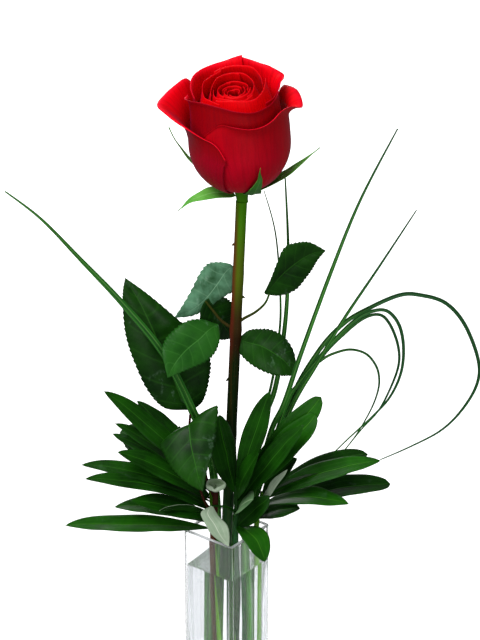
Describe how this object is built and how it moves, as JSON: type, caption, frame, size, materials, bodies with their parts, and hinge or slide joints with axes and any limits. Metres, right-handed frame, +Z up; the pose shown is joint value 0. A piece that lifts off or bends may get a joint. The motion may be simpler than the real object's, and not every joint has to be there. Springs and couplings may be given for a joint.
{
  "type": "bud vase",
  "caption": "Square clear glass bud vase holding a long-stemmed rose with foliage sprigs, a pruned twig and looping bear grass; the rose and the greens lift out.",
  "frame": {"origin": "centre of the vase's flat foot, on the surface it stands on", "axes": "+Z up along the vase, -Y towards the front, +X to the right seen from the front; the vase stands with one corner to the front"},
  "size_m": [0.2759, 0.0702, 0.4914],
  "materials": {
    "clear_glass": "polished clear",
    "petal_red": "velvety",
    "stamen_yellow": "matt",
    "sepal_green": "matt",
    "stem_green": "smooth",
    "rose_leaf_green": "satin",
    "sprig_leaf_green": "satin",
    "twig_brown": "smooth",
    "cut_wood_pale": "matt",
    "grass_green": "satin"
  },
  "bodies": {
    "vase": {"vase": "clear_glass"},
    "greens": {"left_sprig_stem": "stem_green", "left_sprig_leaves": "sprig_leaf_green", "right_sprig_stem": "stem_green", "right_sprig_leaves": "sprig_leaf_green", "upright_sprig_stem": "stem_green", "upright_sprig_leaves": "sprig_leaf_green", "twig_stem": "twig_brown", "twig_pruned_head": "cut_wood_pale", "twig_leaf_front": "rose_leaf_green", "twig_leaf_left": "rose_leaf_green", "twig_leafstalks": "twig_brown", "grass_left_pair": "grass_green", "grass_tall": "grass_green", "grass_slanted": "grass_green", "grass_upright": "grass_green", "grass_fine": "grass_green", "grass_loop_large": "grass_green", "grass_loop_outer": "grass_green", "grass_loop_inner": "grass_green", "grass_loop_small": "grass_green"},
    "rose": {"rose_stem": "stem_green", "rose_receptacle": "sepal_green", "rose_sepals": "sepal_green", "petal_guard_front": "petal_red", "petal_flared_left": "petal_red", "petal_guard_back": "petal_red", "petal_second_front": "petal_red", "petal_second_right": "petal_red", "petal_second_left": "petal_red", "petals_third_ring": "petal_red", "petals_fourth_ring": "petal_red", "petals_fifth_ring": "petal_red", "petals_sixth_ring": "petal_red", "petals_heart": "petal_red", "rose_stamens": "stamen_yellow", "rose_leafstalk_left": "stem_green", "rose_leaflet_left_top": "rose_leaf_green", "rose_leaflet_left_front": "rose_leaf_green", "rose_leaflet_left_back": "rose_leaf_green", "rose_leaf_left_large": "rose_leaf_green", "rose_leafstalk_low_left": "stem_green", "rose_leafstalk_right": "stem_green", "rose_leaflet_right_top": "rose_leaf_green", "rose_leaf_right_low": "rose_leaf_green"}
  },
  "joints": [
    {"name": "bouquet_lift", "type": "slide", "parent": "vase", "child": "greens", "axis": [0, 0, 1], "range_m": [0, 0.21]},
    {"name": "rose_lift", "type": "slide", "parent": "greens", "child": "rose", "axis": [0.0413, 0, 0.9991], "range_m": [0, 0.3]}
  ]
}
